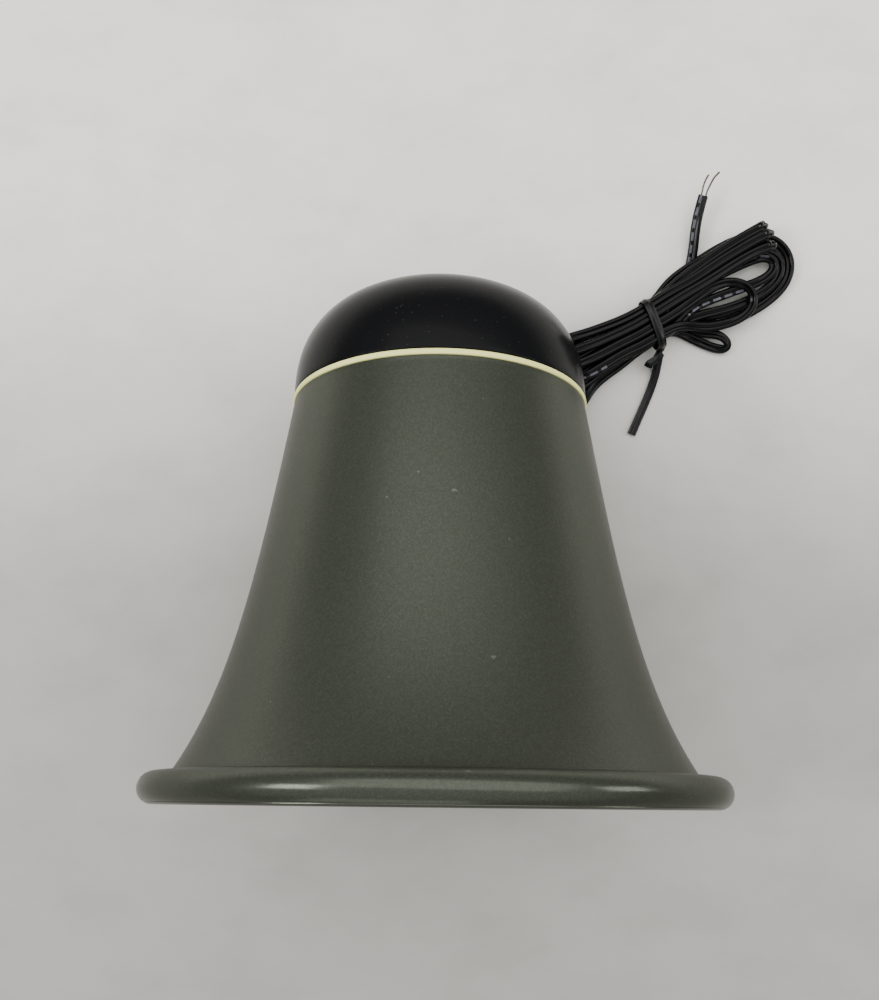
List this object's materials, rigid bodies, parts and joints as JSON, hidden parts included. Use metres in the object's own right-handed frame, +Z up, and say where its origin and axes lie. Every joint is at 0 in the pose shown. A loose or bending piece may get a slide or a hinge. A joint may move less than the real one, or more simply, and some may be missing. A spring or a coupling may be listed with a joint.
{
  "type": "alarm siren",
  "caption": "Bell-shaped horn siren with a gloss black domed rear cover, folded horn, compression driver and siren board inside, and a two-core lead tied in a hank.",
  "frame": {"origin": "under the middle of the horn without its lead, on the surface that it lies on", "axes": "+Z up from the surface, +Y from the horn's mouth towards its rear cover, +X to the side where the lead leaves; the horn's own axis lies in the YZ plane, tilted 16.48 degrees with its mouth up"},
  "size_m": [0.1887, 0.2081, 0.1458],
  "materials": {
    "bell_paint": "satin metallic olive-grey paint, fine orange peel",
    "cover_black": "gloss black ABS",
    "gasket_cream": "matt cream rubber",
    "pvc_black": "black PVC with a dashed pale marker line on one core",
    "pvc_red": "red PVC",
    "tie_black": "black PVC over a wire",
    "copper": "bared tinned copper",
    "grey_plastic": "moulded grey ABS",
    "black_rubber": "black rubber",
    "steel_plate": "zinc plated",
    "ferrite": "ferrite",
    "phenolic": "phenolic resin",
    "board_green": "solder mask on glass epoxy",
    "chip_black": "moulded epoxy",
    "can_blue": "sleeved can",
    "tan_ceramic": "ceramic body",
    "terminal_green": "moulded nylon"
  },
  "bodies": {
    "horn": {"bare_wire_1": "copper", "bare_wire_2": "copper", "board_post_1": "steel_plate", "board_post_2": "steel_plate", "board_post_3": "steel_plate", "board_screw_1": "steel_plate", "board_screw_2": "steel_plate", "board_screw_3": "steel_plate", "cap_gasket": "gasket_cream", "cord_grommet": "black_rubber", "cord_hank": "pvc_black", "cord_lead": "pvc_black", "cord_tail": "pvc_black", "cord_terminal": "terminal_green", "cover_screw_1": "steel_plate", "cover_screw_2": "steel_plate", "cover_screw_3": "steel_plate", "diaphragm_ring": "black_rubber", "driver_front_plate": "grey_plastic", "driver_screw_1": "steel_plate", "driver_screw_2": "steel_plate", "driver_screw_3": "steel_plate", "driver_terminal": "phenolic", "horn_bell": "bell_paint", "inner_lead_1": "pvc_black", "inner_lead_2": "pvc_black", "magnet": "ferrite", "output_transistor_1": "chip_black", "output_transistor_2": "chip_black", "phase_plug": "black_rubber", "rear_cover": "cover_black", "reflector": "bell_paint", "reflector_bracket": "grey_plastic", "reflector_screw": "steel_plate", "resistor_1": "tan_ceramic", "resistor_2": "tan_ceramic", "siren_board": "board_green", "siren_chip": "chip_black", "speaker_lead_1": "pvc_red", "speaker_lead_2": "pvc_black", "supply_capacitor": "can_blue", "supply_diode": "chip_black", "throat_tube": "grey_plastic", "timing_capacitor": "can_blue", "top_plate": "steel_plate", "twist_tie": "tie_black", "yoke": "steel_plate"},
    "diaphragm_body": {"diaphragm": "phenolic", "voice_coil": "copper"}
  },
  "joints": [
    {"name": "diaphragm_travel", "type": "slide", "parent": "horn", "child": "diaphragm_body", "axis": [0, -0.9589, 0.2837], "range_m": [-0.0004, 0.0004], "stiffness_N_per_m": 1500}
  ]
}
